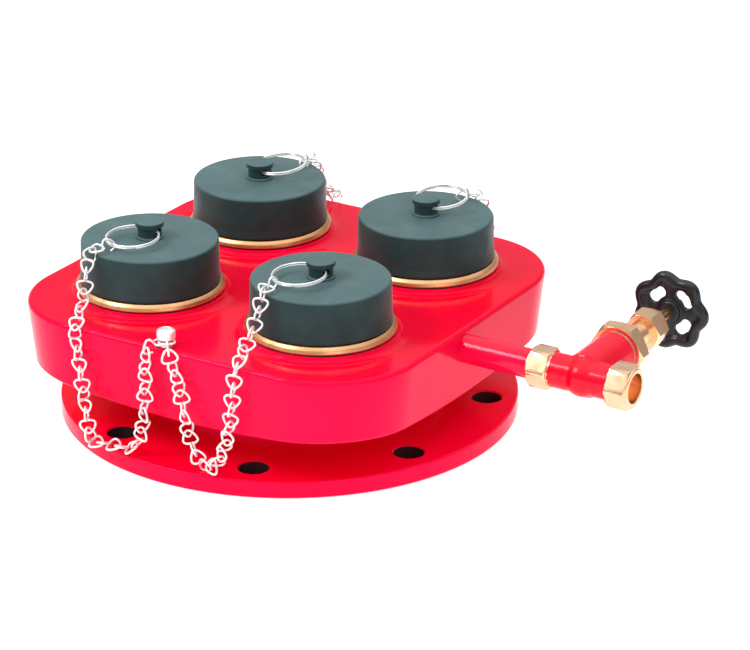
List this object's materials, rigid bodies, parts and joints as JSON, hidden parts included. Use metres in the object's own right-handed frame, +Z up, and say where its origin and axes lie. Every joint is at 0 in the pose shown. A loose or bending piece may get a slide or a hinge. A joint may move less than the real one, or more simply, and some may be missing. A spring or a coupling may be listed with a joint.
{
  "type": "fire department connection",
  "caption": "Square cast inlet breeching on a round bolted flange, with capped hose inlets on chains and a drain valve with a handwheel.",
  "frame": {"origin": "centre of the outlet bore, in the plane of the flange's underside", "axes": "+Z up from the flange towards the inlets, -Y towards the front face where the front chains hang, +X towards the drain valve"},
  "size_m": [0.4625, 0.34, 0.1521],
  "materials": {
    "red_paint": "gloss",
    "gunmetal": "turned",
    "brass": "satin",
    "stem_brass": "satin",
    "black_rubber": "matte",
    "cap_rubber": "satin",
    "spring_steel": "drawn wire",
    "zinc_plate": "bright zinc plate",
    "fibre": "compressed fibre",
    "black_enamel": "gloss"
  },
  "bodies": {
    "casting": {"manifold_body": "red_paint", "inlet_gasket_front_left": "black_rubber", "inlet_gasket_rear_right": "black_rubber", "inlet_gasket_front_right": "black_rubber", "inlet_gasket_rear_left": "black_rubber", "inlet_adaptor_front_left": "gunmetal", "inlet_adaptor_rear_right": "gunmetal", "inlet_adaptor_front_right": "gunmetal", "inlet_adaptor_rear_left": "gunmetal", "valve_spring_front_left": "spring_steel", "valve_spring_rear_right": "spring_steel", "valve_spring_front_right": "spring_steel", "valve_spring_rear_left": "spring_steel", "chain_front_left": "zinc_plate", "chain_rear_right": "zinc_plate", "chain_front_right": "zinc_plate", "chain_rear_left": "zinc_plate", "chain_screw_front": "zinc_plate", "chain_screw_rear": "zinc_plate", "drain_pipe": "red_paint", "drain_valve_body": "red_paint", "drain_bonnet": "brass", "drain_bonnet_gasket": "fibre", "drain_gland_packing": "fibre", "drain_gland_nut": "brass"},
    "cap_front_left": {"cap_front_left": "cap_rubber", "split_ring_front_left": "zinc_plate"},
    "valve_front_left": {"valve_disc_front_left": "brass", "valve_seal_front_left": "black_rubber", "valve_nut_front_left": "brass"},
    "cap_rear_right": {"cap_rear_right": "cap_rubber", "split_ring_rear_right": "zinc_plate"},
    "valve_rear_right": {"valve_disc_rear_right": "brass", "valve_seal_rear_right": "black_rubber", "valve_nut_rear_right": "brass"},
    "cap_front_right": {"cap_front_right": "cap_rubber", "split_ring_front_right": "zinc_plate"},
    "valve_front_right": {"valve_disc_front_right": "brass", "valve_seal_front_right": "black_rubber", "valve_nut_front_right": "brass"},
    "cap_rear_left": {"cap_rear_left": "cap_rubber", "split_ring_rear_left": "zinc_plate"},
    "valve_rear_left": {"valve_disc_rear_left": "brass", "valve_seal_rear_left": "black_rubber", "valve_nut_rear_left": "brass"},
    "drain_wheel": {"drain_stem": "stem_brass", "drain_handwheel": "black_enamel", "drain_wheel_nut": "brass"},
    "drain_gate": {"drain_gate": "brass"}
  },
  "joints": [
    {"name": "cap_lift_front_left", "type": "slide", "parent": "casting", "child": "cap_front_left", "axis": [0, 0, 1], "range_m": [0, 0.045], "deforming": ["chain_front_left"]},
    {"name": "cap_lift_rear_right", "type": "slide", "parent": "casting", "child": "cap_rear_right", "axis": [0, 0, 1], "range_m": [0, 0.045], "deforming": ["chain_rear_right"]},
    {"name": "cap_lift_front_right", "type": "slide", "parent": "casting", "child": "cap_front_right", "axis": [0, 0, 1], "range_m": [0, 0.045], "deforming": ["chain_front_right"]},
    {"name": "cap_lift_rear_left", "type": "slide", "parent": "casting", "child": "cap_rear_left", "axis": [0, 0, 1], "range_m": [0, 0.045], "deforming": ["chain_rear_left"]},
    {"name": "valve_open_front_left", "type": "slide", "parent": "casting", "child": "valve_front_left", "axis": [0, 0, -1], "range_m": [0, 0.009], "stiffness_N_per_m": 400, "springref_m": -0.02, "deforming": ["valve_spring_front_left"]},
    {"name": "valve_open_rear_right", "type": "slide", "parent": "casting", "child": "valve_rear_right", "axis": [0, 0, -1], "range_m": [0, 0.009], "stiffness_N_per_m": 400, "springref_m": -0.02, "deforming": ["valve_spring_rear_right"]},
    {"name": "valve_open_front_right", "type": "slide", "parent": "casting", "child": "valve_front_right", "axis": [0, 0, -1], "range_m": [0, 0.009], "stiffness_N_per_m": 400, "springref_m": -0.02, "deforming": ["valve_spring_front_right"]},
    {"name": "valve_open_rear_left", "type": "slide", "parent": "casting", "child": "valve_rear_left", "axis": [0, 0, -1], "range_m": [0, 0.009], "stiffness_N_per_m": 400, "springref_m": -0.02, "deforming": ["valve_spring_rear_left"]},
    {"name": "drain_wheel_turn", "type": "hinge", "parent": "casting", "child": "drain_wheel", "pos_m": [0.2525, -0.014, 0.0824], "axis": [0, 0.9998, 0.0175], "range_deg": [0, 2280]},
    {"name": "drain_gate_lift", "type": "slide", "parent": "casting", "child": "drain_gate", "axis": [0, 0.9998, 0.0175], "range_m": [0, 0.019]}
  ],
  "couplings": [
    {"joint": "drain_gate_lift", "follows": "drain_wheel_turn", "m_per_rad": 0.00047746}
  ]
}
